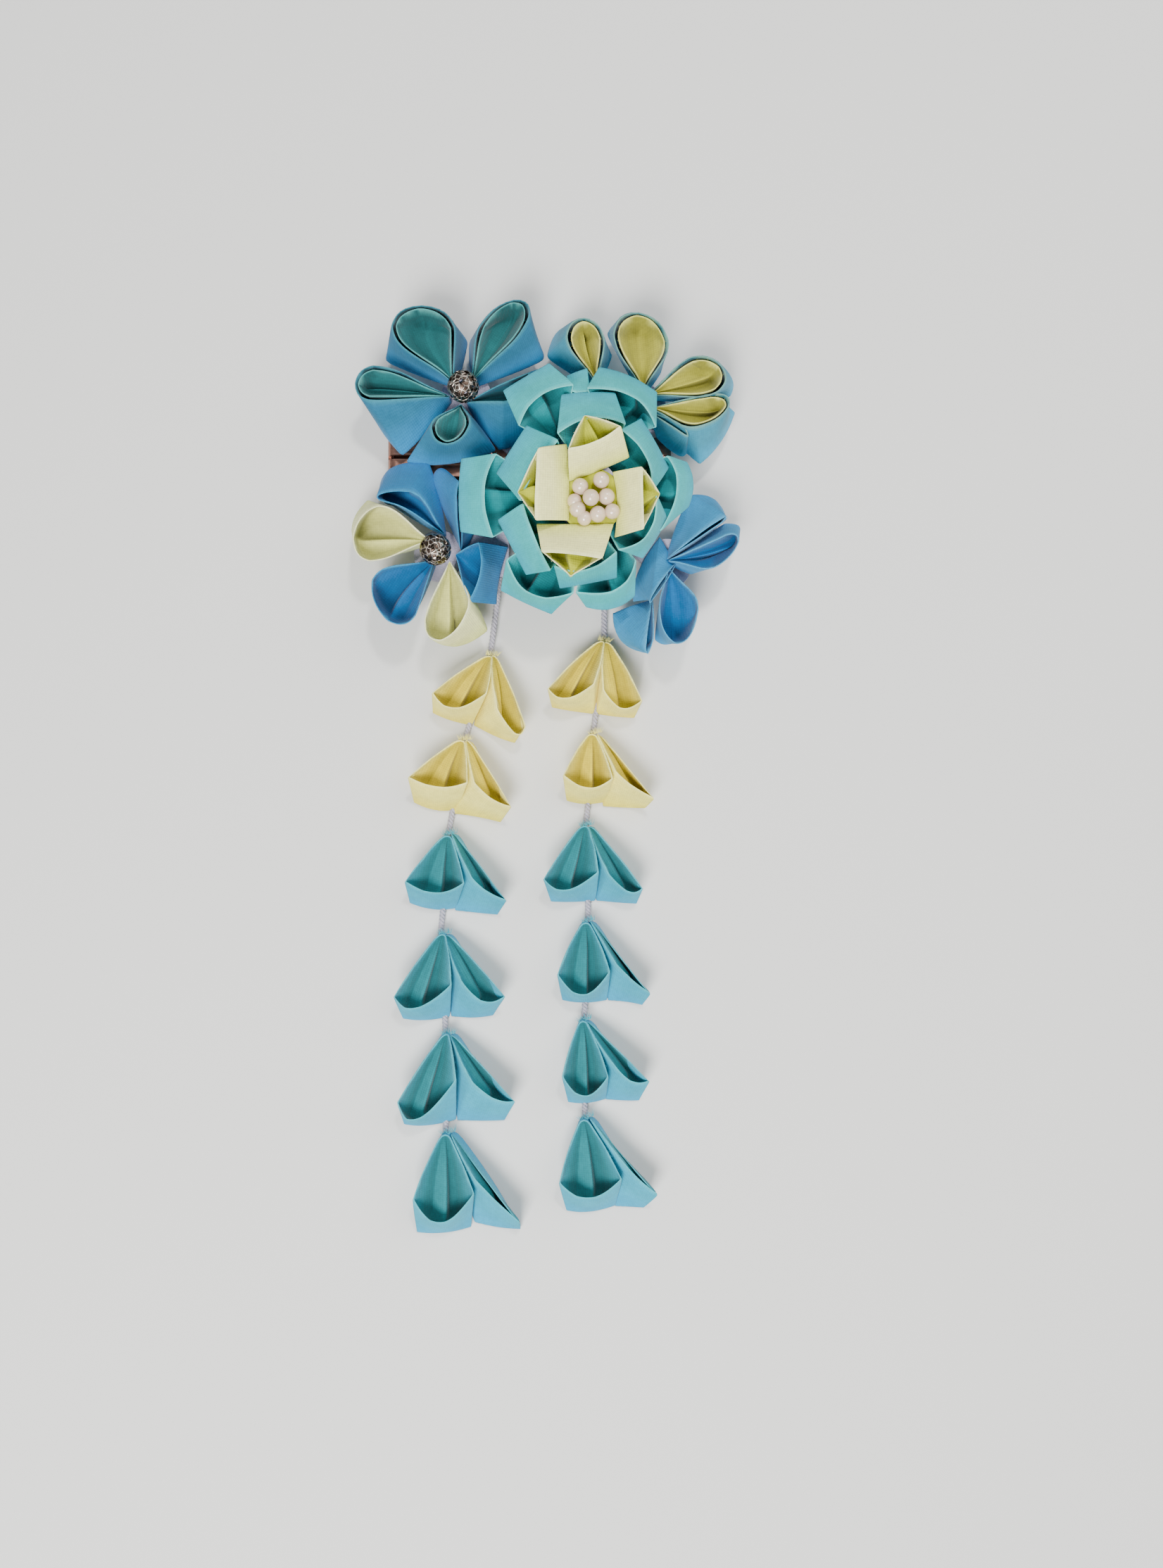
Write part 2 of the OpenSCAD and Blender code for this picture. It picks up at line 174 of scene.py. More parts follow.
def makeCord(name, route, material):
    path = pathOf(route, cords["lay"] / cords["stepsPerTurn"])
    away = (cords["diameter"] / 2 - cords["strandRadius"]) * mm
    bm = bmesh.new()
    for strand in range(cords["strands"]):
        def onStrand(i, j, strand=strand):
            along = (path[min(j + 1, len(path) - 1)] - path[max(j - 1, 0)]).normalized()
            side = along.cross(Vector((0, 0, 1))).normalized()
            up = side.cross(along)
            turn = math.tau * (j / cords["stepsPerTurn"] + strand / cords["strands"])
            out = side * math.cos(turn) + up * math.sin(turn)
            around = up * math.cos(turn) - side * math.sin(turn)
            across = (out.cross(along + around * cords["lean"])).normalized()
            angle = math.tau * i / cords["sides"]
            ring = out * math.cos(angle) + across * math.sin(angle)
            return path[j] + out * away + ring * cords["strandRadius"] * mm
        placeGrid(bm, cords["sides"], len(path) - 1, onStrand)
    bmesh.ops.remove_doubles(bm, verts=bm.verts, dist=1e-7)
    bmesh.ops.holes_fill(bm, edges=[e for e in bm.edges if e.is_boundary], sides=0)
    bmesh.ops.recalc_face_normals(bm, faces=bm.faces)
    piece = makePiece(name, bm, [material], [name.replace("Twisted", "_string")], 0)
    coarse = path[::cords["coarse"]] + ([path[-1]] if (len(path) - 1) % cords["coarse"] else [])
    real = sum((b - a).length for a, b in zip(coarse, coarse[1:]))
    print(name, "length", round(real, 5))
    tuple(path[0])


# Petals, a row each, as the photo shows them from above: the tip and the rim's first corner, middle
# of its back and second corner, then the same three of the seat. A drop has two rows, left and right
petals = {
    "leftDrops": [
        [(-22.7, -40.2), (-36.9, -50.3), (-31.4, -54.4), (-22.8, -50.5),
         (-37.9, -55.2), (-32.8, -57.2), (-27.7, -58.5)],
        [(-21.3, -40.2), (-20.5, -54.4), (-15.5, -61), (-12.9, -58.7),
         (-27.3, -58.4), (-21.7, -61.1), (-16.3, -63.1)],
        [(-30, -62.2), (-43.1, -71.9), (-35.5, -74.6), (-27.7, -73.4),
         (-42.8, -78.9), (-37, -80.9), (-31.3, -80.7)],
        [(-28.1, -62.3), (-26.4, -73.4), (-21.7, -77.7), (-16.5, -79.7),
         (-32.8, -81.8), (-26.4, -82.6), (-20.1, -84)],
        [(-33.6, -87.1), (-44, -98.8), (-36, -101.8), (-28.5, -99.1),
         (-43.9, -105.4), (-37.8, -107), (-31.9, -106.8)],
        [(-32, -86.7), (-27.1, -97.8), (-23.2, -101.3), (-17.8, -103.7),
         (-32.1, -107.4), (-26, -108), (-20.8, -108.4)],
        [(-35, -112.7), (-46.9, -128.3), (-41.2, -131.4), (-31.8, -125.2),
         (-45.6, -135.9), (-39.5, -136.2), (-33.4, -135.4)],
        [(-33.5, -113.1), (-29.6, -124.5), (-23.9, -129.8), (-18.1, -128.3),
         (-33.1, -135.4), (-27.4, -135.6), (-22, -135)],
        [(-34.2, -138.9), (-45.9, -155.2), (-40.8, -159.9), (-30.6, -149.6),
         (-45.4, -163.8), (-38.9, -163.9), (-31.7, -162.7)],
        [(-32.3, -139.3), (-26.8, -150.3), (-21.2, -154.8), (-15.6, -155.4),
         (-31.5, -162.9), (-24.4, -162.9), (-19, -162.7)],
        [(-34.2, -165), (-42, -180.1), (-34.7, -186.4), (-26, -178.7),
         (-42, -192.4), (-34.9, -192.3), (-27.7, -191)],
        [(-32.3, -165.3), (-26.1, -175.5), (-20.5, -181.3), (-14.3, -186.8),
         (-26.8, -189.8), (-20.8, -191), (-14.6, -191.3)],
    ],
    "rightDrops": [
        [(6.5, -36.3), (-7.4, -49.2), (-2.7, -52), (4.8, -48.1),
         (-6.4, -53.7), (-1.3, -54.6), (4.6, -55.5)],
        [(8, -36.6), (6.9, -49.5), (11.6, -54.4), (17.1, -52.2),
         (5.2, -55.5), (10.1, -56), (15.2, -56.5)],
        [(4.2, -60.5), (-3.5, -71.5), (3.3, -74.9), (9.5, -72.2),
         (-2.5, -78.4), (2.7, -79.2), (8, -78.6)],
        [(6, -60.8), (10, -70.3), (14.5, -74.3), (20.1, -77.6),
         (7, -79.9), (12.6, -80.2), (18.1, -80.2)],
        [(2.1, -84.5), (-8.5, -98.1), (-2.7, -101.1), (5.9, -96.3),
         (-6.6, -105), (-0.9, -105), (5, -104.8)],
        [(3.8, -84.7), (8.1, -96.8), (13.4, -101.6), (17.3, -100.6),
         (5.2, -104.8), (10.6, -105.1), (15.9, -105.5)],
        [(2.4, -109.7), (-4.9, -122.5), (1.7, -128), (8.9, -121.7),
         (-3.6, -131.1), (2.1, -131.5), (8.1, -131.1)],
        [(4.2, -109.7), (10.3, -120.2), (14.7, -124.5), (19.1, -127.8),
         (8.4, -131.2), (13.2, -131.5), (17.4, -132.2)],
        [(1.8, -135.4), (-3.7, -148.5), (2, -154), (8.4, -148.8),
         (-2.1, -158), (2.9, -158), (7.8, -157.1)],
        [(3, -135.7), (10, -146.5), (14.3, -150.3), (18.9, -150.2),
         (7.8, -157.3), (12.3, -157.5), (16.5, -157.5)],
        [(2, -161.2), (-4.5, -175.9), (3.3, -180), (11.8, -174.9),
         (-2.5, -186.6), (3.4, -186.8), (10.3, -185.3)],
        [(3.9, -161.3), (12.7, -171.9), (16.7, -176), (21.1, -179.4),
         (10.3, -185.6), (14.4, -185.7), (17.7, -185.7)],
    ],
    "teal": [
        [(-31.3, 28.5), (-46.2, 40.6), (-38.6, 46.6), (-30.2, 40.1),
         (-49.5, 35.1), (-39.9, 49), (-27.7, 40.2)],
        [(-26.6, 28.5), (-24.4, 40.5), (-15.3, 48), (-12, 42.2),
         (-27.7, 40.2), (-16.7, 49), (-7.7, 35.6)],
        [(-32, 25), (-51.3, 22.4), (-55.8, 26.8), (-50.5, 31.3),
         (-44.6, 10.4), (-52.6, 21.4), (-54.8, 32.4)],
        [(-29.2, 23.3), (-36.4, 16.6), (-32.3, 11.3), (-26.5, 17),
         (-44.3, 9), (-32.5, 8.6), (-20.2, 12.1)],
        [(-28, 23.8), (-18.1, 22.5), (-13.3, 25), (-11.7, 29.8),
         (-20, 12.1), (-10.2, 18.3), (-6.6, 34.5)],
    ],
    "lime": [
        [(5.3, 28.3), (-2.3, 38.2), (2.1, 43.7), (7.2, 37.8),
         (-7.8, 36.2), (-2, 44.8), (9.5, 36.9)],
        [(17.1, 26.3), (9.4, 38.2), (15.7, 44.9), (23.4, 36.8),
         (7.8, 42.4), (15.8, 47.2), (22.1, 32.5)],
        [(18.5, 25.3), (28.1, 33), (36.9, 31.2), (35.1, 24.2),
         (32.1, 36.6), (39.9, 32.1), (39.8, 26.1)],
        [(19.1, 22.2), (34.1, 24.4), (38.7, 20.9), (29.8, 15.7),
         (41.4, 22.2), (37.5, 14.3), (31.9, 8.4)],
        [(19.5, 20.9), (27.5, 16.3), (28.3, 13.9), (25.8, 15.1),
         (29.3, 15.2), (27.3, 10.6), (20.6, 15.7)],
    ],
    "cream": [
        [(-37.3, -11.6), (-51.3, -17.9), (-55.9, -11), (-49, -3.8),
         (-53.3, -15.7), (-58, -8), (-53.8, -0.2)],
        [(-36, -16.5), (-39.9, -31), (-47.7, -32.5), (-50.9, -22.1),
         (-42.6, -31.6), (-48.6, -30.2), (-52.6, -21.5)],
        [(-32.2, -16.9), (-37.9, -32.2), (-33.6, -37.8), (-26.7, -28.9),
         (-38.2, -35.9), (-30.5, -38.3), (-22.4, -34.2)],
        [(-30.7, -15.2), (-26.9, -28.1), (-23.8, -20.5), (-24.3, -13),
         (-20.3, -27.4), (-19.6, -20.4), (-17.3, -12.5)],
        [(-33.5, -9.9), (-47.1, -3.2), (-49.5, -0.9), (-41.5, -0.1),
         (-50.9, 0.7), (-47.9, 8.1), (-37.7, 9.7)],
        [(-29.3, -14.1), (-30.1, -1.5), (-29.5, 2.4), (-29, -1.2),
         (-37.7, 4.9), (-33.1, 7), (-25.7, -8.3)],
    ],
    "azure": [
        [(23.1, -16.2), (36.6, -8.2), (37.8, -6.8), (37.5, -6.2),
         (38.9, -5.3), (35.4, 0.2), (29.1, 1.2)],
        [(23.5, -16.7), (37.2, -11.3), (40.9, -13.3), (35.1, -19.4),
         (38.2, -6.3), (42, -9.3), (29.6, -19.8)],
        [(23.7, -18.7), (20.8, -29.3), (25.7, -38.7), (30.8, -29.3),
         (20.2, -36.8), (25, -37.3), (31.2, -30.8)],
        [(19.5, -26.3), (17.3, -39.7), (18.3, -41), (19.6, -37.2),
         (9.2, -29.4), (11.4, -36.8), (18.6, -40.2)],
        [(25.4, -17.4), (19.5, -27.3), (18.6, -28.4), (18.8, -26.8),
         (14.5, -26.7), (15.9, -18.6), (21.7, -9.3)],
    ],
    "outer": [
        [(-3.7, 11.4), (-14, 13.8), (-9.3, 21.1), (-0.4, 24),
         (-18.4, 24.9), (-12.8, 28.3), (-6.9, 31.7)],
        [(7.2, 13.2), (2.6, 23.2), (13.9, 21.3), (19.8, 13.5),
         (5.9, 30.7), (13.2, 28.6), (20.4, 24.5)],
        [(7.2, 0.4), (22.4, 6.7), (25, -1.4), (20.8, -12),
         (28, 6.7), (29.6, 1.4), (28.5, -4.3)],
        [(6.3, -7.8), (14.8, -18.9), (10.3, -26.1), (-0.1, -26.8),
         (14.8, -27.1), (9.1, -30.2), (2.6, -29.7)],
        [(-0.1, -7.8), (-0.4, -27), (-10.9, -27.5), (-17.1, -18.7),
         (-6.3, -31.6), (-12.5, -28.8), (-18.9, -25.7)],
        [(-5.6, -1.4), (-20.3, -13.5), (-22.6, -2.3), (-19.5, 7.2),
         (-29.2, -10.7), (-29.6, -1.3), (-29, 7.6)],
        [(1, 18.2), (3.4, 23.1), (0.8, 22.6), (-1.2, 23.3),
         (2.8, 30.4), (0.1, 29.5), (-2.4, 28.4)],
    ],
    "middle": [
        [(4.4, 2.7), (-4.5, 10.4), (3.7, 14.2), (12.1, 12.6),
         (-3.5, 22.4), (3, 23), (9.6, 22.9)],
        [(5.3, -0.9), (11, 11.3), (16.9, 5.1), (18.6, -3.8),
         (16.3, 16.4), (19.8, 10.4), (23.1, 4.3)],
        [(5.3, -2.6), (19.4, -4.2), (17.6, -13.6), (10.1, -17.7),
         (22.6, -8.4), (20.1, -13.2), (16.7, -18.4)],
        [(3.9, -8.9), (10, -18), (2.4, -22.6), (-5.3, -21.4),
         (10.1, -23.3), (3.1, -24.6), (-3.9, -25.9)],
        [(0.8, -7.1), (-6.1, -22.7), (-10, -14.7), (-12.8, -6.4),
         (-12.5, -22.4), (-16, -15.7), (-19.5, -9)],
        [(-0.1, -2.6), (-13.5, -5.8), (-9.8, 1.6), (-4.2, 8.9),
         (-19.8, 3), (-16.2, 8.8), (-12.4, 14.7)],
    ],
    "inner": [
        [(2.1, 14.6), (-1.8, 5.3), (5, 7.1), (10.7, 10.8),
         (-1.6, -0.8), (5.8, 1.9), (13.1, 5)],
        [(-13.9, -3.7), (-9.2, -11.5), (-9.3, -3.8), (-8.7, 5.8),
         (-1.3, -10), (-1.2, -3), (-1.9, 8.6)],
        [(-1.2, -23.8), (6.5, -20.2), (-0.9, -19.1), (-8.1, -18.8),
         (9.3, -10.4), (-0.1, -10.6), (-9.6, -10.5)],
        [(20.2, -4.2), (15.6, 1.4), (15.7, -6), (16, -13.6),
         (8.7, 1.7), (9.8, -6.1), (9.1, -14.2)],
    ],
}

# Cross sections of a petal's inside between its rim's corners: facets that fan out from the tip,
# [share across, height, painted shade]: the last is a brightness factor that paints shade into the
# valleys and darker facets, and deep shade under a lining
insides = {
    "fan": [[0, 1, 0.95], [0.05, 0.76, 0.80], [0.28, 0.22, 0.66], [0.32, 0.24, 1.04], [0.57, 0.55, 1.02],
            [0.62, 0.10, 0.50], [0.74, 0.14, 0.72], [0.94, 0.74, 0.92], [1, 1, 1]],
    "narrowFan": [[0, 1, 1], [0.06, 0.80, 0.96], [0.42, 0.50, 1.04], [0.47, 0.14, 0.62], [0.72, 0.26, 0.72],
                  [0.94, 0.74, 0.84], [1, 1, 0.95]],
    "bowl": [[0, 1, 1], [0.05, 0.70, 0.82], [0.20, 0.30, 0.74], [0.44, 0.10, 0.90], [0.50, 0.12, 1.0],
             [0.70, 0.20, 0.78], [0.95, 0.70, 0.86], [1, 1, 1]],
    "ridge": [[0, 1, 1], [0.05, 0.72, 0.84], [0.24, 0.28, 0.80], [0.46, 0.42, 1.06], [0.51, 0.06, 0.60],
              [0.74, 0.20, 0.84], [0.95, 0.74, 0.90], [1, 1, 1]],
    "deep": [[0, 1, 0.6], [0.06, 0.30, 0.4], [0.30, 0.03, 0.3], [0.70, 0.03, 0.3], [0.94, 0.30, 0.4],
             [1, 1, 0.6]],
}

folding = {
    "wall": 0.42,  # width of the cloth's folded edge
    "wallShare": 0.28,  # the most that it takes of the petal's width
    "edgeFall": 0.35,  # how far its inner side lies lower, as a share of its width
    "foot": 1.2,  # width of the cloth at the seat
    "footShare": 0.3,
    "footLevel": 0.06,  # lowest level of the inside, as a share of the petal's height
    "sideSteps": 8,
    "sideBulge": 0.035,  # bow of a flat-backed petal's sides, as a share of their length
    "roundHandles": (0.45, 0.32),  # how far a round petal's sides stay straight, and how they swing in
    "tipLevel": 0.45,  # height of the rim at the tip, as a share of the petal's
    "tipWidth": 0.35,  # the cloth's width at the tip
    "climb": 1.7,  # how soon the rim reaches its height
    "hollowing": 0.55,  # how soon the inside reaches its depth
    # rings of the outside: [share from the seat to the rim, level]
    "rings": [[0, 0], [0.02, 0.06], [0.22, 0.26], [0.46, 0.50], [0.70, 0.74], [0.90, 0.93], [1, 0.985]],
    # rows of the inside under its back: [share from the rim to the seat, level]
    "backRows": [[0.42, 0], [0.22, 0.62], [0, 1]],
    "backCrease": 0.75,
    "facetCrease": 0.55,
    "wrinkleSize": 7.0,
    "wrinkleHeight": 0.14,
    "fuzz": 26,  # stray fibres along a rim
    "fuzzLength": 0.45,
    "fuzzWidth": 0.035,
}


# A closed loop moved inwards, each point by its own amount
def inwards(loop, amounts):
    count = len(loop)
    area = sum(a.x * b.y - a.y * b.x for a, b in zip(loop, loop[1:] + loop[:1]))
    turn = 1 if area > 0 else -1
    moved = []
    for i, spot in enumerate(loop):
        before = (spot - loop[i - 1]).normalized()
        after = (loop[(i + 1) % count] - spot).normalized()
        way = before + after
        way = way.normalized() if way.length > 0.3 else Vector((-before.y, before.x)) * turn
        moved.append(spot + Vector((-way.y, way.x)) * turn * amounts[i])
    return moved


# A petal's outline from above: its first side, its back and its second side
def loopOf(point, first, back, second, shares, steps, isRound, tipWidth):
    middle = (first + second) / 2
    across = (first - second).normalized() * tipWidth / 2
    sides = []
    for corner, tip in ((first, point + across), (second, point - across)):
        chord = corner - tip
        if isRound:
            pull = (back - middle).normalized() * chord.length
            straight, swing = folding["roundHandles"]
            handles = [tip, tip + chord * straight, corner - pull * swing, corner]
            side = []
            for k in range(steps + 1):
                t = k / steps
                weights = ((1 - t) ** 3, 3 * t * (1 - t) ** 2, 3 * t * t * (1 - t), t ** 3)
                side.append(sum((h * w for h, w in zip(handles, weights)), Vector((0, 0))))
        else:
            out = (corner - middle).normalized() * chord.length * folding["sideBulge"]
            side = [tip + chord * (k / steps) + out * math.sin(math.pi * k / steps) for k in range(steps + 1)]
        sides.append(side)
    if isRound:
        arc = [middle + (first - middle) * math.cos(math.pi * u) + (back - middle) * math.sin(math.pi * u)
               for u in shares]
    else:
        pull = back * 2 - middle
        arc = [first * (1 - u) ** 2 + pull * 2 * u * (1 - u) + second * u * u for u in shares]
    return sides[0], arc, sides[1]


def ringOf(sides):
    first, arc, second = sides
    return first + arc[1:-1] + second[::-1]


# A flat fibre that narrows and bends down to its end
def addFibre(bm, start, way, length, width, tone):
    fold = bm.verts.layers.float_color["fold"]
    side = way.cross(Vector((0.3, 0.2, 1))).normalized() * width / 2 * mm

    def point(i, j):
        bend = Vector((0, 0, -0.25 * length * mm * (j / 2) ** 2))
        return start + way * length * mm * j / 2 + bend + side * (2 * i - 1) * (1 - 0.35 * j)

    for vert in placeGrid(bm, 1, 2, point):
        vert[fold] = tone
        vert[bm.verts.layers.float["shade"]] = 1.0


# Joins the outside, the edge and the inside, closes the bottom and turns all faces outwards
def closePetal(bm, verts):
    bmesh.ops.remove_doubles(bm, verts=verts, dist=2e-6)
    rims = dict.fromkeys(e for vert in verts if vert.is_valid for e in vert.link_edges if e.is_boundary)
    bmesh.ops.holes_fill(bm, edges=list(rims), sides=0)
    faces = dict.fromkeys(face for vert in verts if vert.is_valid for face in vert.link_faces)
    bmesh.ops.recalc_face_normals(bm, faces=list(faces))


def addPetal(bm, row, low, high, inside, isRound, floorLevel=0.0, seed=0, tipWidth=folding["tipWidth"],
             tipLevel=folding["tipLevel"], climbPower=None):
    dice = random.Random(seed)
    wall, steps = folding["wall"], folding["sideSteps"]
    profile = insides[inside]
    fine = []
    for corner, nextCorner in zip(profile, profile[1:]):
        fine += [[mix(a, b, k / 2) for a, b in zip(corner, nextCorner)] for k in range(2)]
    shares, heights, tones = zip(*fine, profile[-1])
    tip, first, back, second, seatFirst, seatBack, seatSecond = [Vector(spot) for spot in row]
    rimSides = loopOf(tip, first, back, second, shares, steps, isRound, tipWidth)
    rim = ringOf(rimSides)
    seat = ringOf(loopOf(tip, seatFirst, seatBack, seatSecond, shares, steps, False, tipWidth))
    axis = (back - tip).normalized()
    count = len(rim)
    climb = [k / steps for k in range(steps + 1)] + [1.0] * (len(shares) - 2)
    climb += [k / steps for k in range(steps, -1, -1)]
    rise = high - low
    widths = [(a - b).length for a, b in zip(rimSides[0], rimSides[2])]
    widths = widths + [widths[-1]] * (len(shares) - 2) + widths[::-1]
    insets = [min(wall, folding["wallShare"] * width) for width in widths]
    innerRim = inwards(rim, insets)
    innerSeat = inwards(seat, [min(folding["foot"], folding["footShare"] * width) for width in widths])

    def rimLevel(v):
        climbed = v ** climbPower if climbPower else 1 - (1 - v) ** folding["climb"]
        return tipLevel + (1 - tipLevel) * climbed

    def spotAt(flat, z):
        place = inFrame(flat.x, flat.y, low + z)
        cell = Vector((place.x, place.y, place.z * 0.6)) / (folding["wrinkleSize"] * mm)
        size = folding["wrinkleHeight"] * mm * min(1, z / 2)
        return place + noise.noise_vector(cell + Vector((seed * 1.7, 0, 0))) * size

    rings = folding["rings"]

    def onWall(i, j):
        k = i % count
        top = rise * rimLevel(climb[k])
        if j < len(rings):
            share, level = rings[j]
            return spotAt(seat[k].lerp(rim[k], share), top * level)
        if j == len(rings):
            return spotAt(rim[k].lerp(innerRim[k], 0.5), top)
        return spotAt(innerRim[k], top - insets[k] * folding["edgeFall"])

    innerFirst = innerRim[:steps + 1]
    innerArc = innerRim[steps:steps + len(shares)]
    innerSecond = innerRim[::-1][:steps + 1]
    seatArc = innerSeat[steps:steps + len(shares)]

    # Where the seat lies further in than the rim, the inside follows the leaning wall
    def backAt(i, share, depth):
        leansIn = (innerArc[i] - seatArc[i]).dot(axis) > 0
        return innerArc[i].lerp(seatArc[i], depth if leansIn else share)

    def onInside(i, j):
        u, height = shares[i], heights[i]
        v = min(j, steps) / steps
        k = min(j, steps)
        across = innerFirst[k].lerp(innerSecond[k], u)
        flat = across + (backAt(i, 0, 1 - height) - innerFirst[steps].lerp(innerSecond[steps], u)) * v * v
        top = rise * rimLevel(v) - insets[k] * folding["edgeFall"]
        foot = max(floorLevel, rise * folding["footLevel"])
        deep = top - (1 - height) * max(0, top - foot) * v ** folding["hollowing"]
        if j > steps:
            edge = math.sin(math.pi * u) ** 0.5 if 0 < u < 1 else 0.0
            share, level = folding["backRows"][j - steps - 1]
            flat = backAt(i, share * edge, (1 - height) * (1 - level))
            deep = mix(deep, top, level)
        return spotAt(flat, deep)

    fold = bm.verts.layers.float_color["fold"]
    shade = bm.verts.layers.float["shade"]
    uv = bm.loops.layers.uv["cloth"]
    crease = bm.edges.layers.float["crease_edge"]
    wallCells = placeGrid(bm, count, len(rings) + 1, onWall)
    grid = {cell: vert for vert, cell in wallCells.items()}
    around = [0.0]
    for i in range(count):
        around.append(around[-1] + (grid[i + 1, 4].co - grid[i, 4].co).length / mm)
    for vert, (i, j) in wallCells.items():
        level = (vert.co.z / mm - low) / rise
        # Red: the rim share for the pale fold colour, wear and a painted highlight; blue: the height share
        # that gives painted light and shade towards the seat
        vert[fold] = (1.0 if j >= len(rings) else 0.6 if j == len(rings) - 1 else 0.0, 0.0, max(0, level), 1)
        vert[shade] = 1.0
    for face in {face for vert in wallCells for face in vert.link_faces}:
        for loop in face.loops:
            i, j = wallCells[loop.vert]
            loop[uv].uv = (around[i], (loop.vert.co.z / mm - low) * 1.15)
    if not isRound:
        for i in (steps, steps + len(shares) - 1):
            for j in range(len(rings)):
                for e in grid[i, j].link_edges:
                    if e.other_vert(grid[i, j]) is grid[i, j + 1]:
                        e[crease] = folding["backCrease"]
    insideCells = placeGrid(bm, len(shares) - 1, steps + len(folding["backRows"]), onInside)
    grid = {cell: vert for vert, cell in insideCells.items()}
    for vert, (i, j) in insideCells.items():
        level = (vert.co.z / mm - low) / rise
        border = min(shares[i], 1 - shares[i]) * 6
        # Painted shade on the inside: green picks the shaded inside colour, less near the sides; shade is
        # each point's painted brightness from the profile, 0.85 near the tip and 0.6 in the hollow under the
        # back
        vert[fold] = (0.0, min(1.0, 0.4 + border), max(0, level), 1)
        vert[shade] = mix(0.85, tones[i], min(1, j / 3)) if j <= steps else 0.6
    for face in {face for vert in insideCells for face in vert.link_faces}:
        for loop in face.loops:
            spot = loop.vert.co / mm
            loop[uv].uv = (spot.x * axis.x + spot.y * axis.y, spot.y * axis.x - spot.x * axis.y)
    for i in range(2, len(shares) - 1, 2):
        for j in range(1, steps):
            for e in grid[i, j].link_edges:
                if e.other_vert(grid[i, j]) is grid[i, j + 1]:
                    e[crease] = folding["facetCrease"]
    closePetal(bm, list(wallCells) + list(insideCells))
    for _ in range(folding["fuzz"]):
        k = dice.randrange(2, count - 3)
        flat = rim[k].lerp(rim[k + 1], dice.random())
        start = spotAt(flat, rise * rimLevel(climb[k]) - 0.05)
        way = Vector((dice.uniform(-1, 1), dice.uniform(-1, 1), dice.uniform(-0.2, 0.8))).normalized()
        # the stray fibres take the pale fold colour too: wear and a painted highlight
        addFibre(bm, start, way, folding["fuzzLength"] * dice.uniform(0.5, 1.4), folding["fuzzWidth"],
                 (0.8, 0, 1, 1))


def newCloth():
    bm = bmesh.new()
    bm.verts.layers.float_color.new("fold")
    bm.verts.layers.float.new("shade")
    bm.loops.layers.uv.new("cloth")
    bm.edges.layers.float.new("crease_edge")
    return bm


# Plain-weave cotton, dyed and starched: matt, threads just visible, paler along its folds through wear and a
# painted highlight; its colours also hold painted shade in the hollows and painted light and shade towards
# the seat
cloth = {"threadPitch": 0.4, "mottleSize": 5.0, "grainSize": 0.9}
# Per cloth: outside is the dye; inside is painted shade and reflected light over the cloth's reverse side;
# near the seat is painted light and shade; fold is wear and a painted highlight on the rim
dyesAndPaintedShading = {  # outside, inside, near the seat, fold
    "blueCotton": ("1E6482", "124E58", "1C80B4", "3C868E"),
    "tealCotton": ("2A7C7E", "19686A", "0E4448", "529C96"),
    "aquaBlueCotton": ("35869C", "1F6E80", "34A6CC", "78A086"),
    "limeCotton": ("C8C458", "B2AE40", "8A8824", "D8D478"),
    "azureCotton": ("186FA0", "0E629A", "1878B4", "3690B8"),
    "skyCotton": ("2880AC", "0E6CA8", "268EC4", "549EC0"),
    "aquaCotton": ("2CACAE", "088488", "24A6B8", "72CAC2"),
    "creamCotton": ("F0EEA2", "B4B828", "DCE06E", "F6F4BC"),
    "ivoryCotton": ("E8E8A6", "D2D27C", "DAE088", "F0F0C4"),
    "yellowCotton": ("EEE274", "CEB830", "E6D448", "F2EC9C"),
    "seaCotton": ("289AB2", "1A7278", "2298BE", "50ACB2"),
}


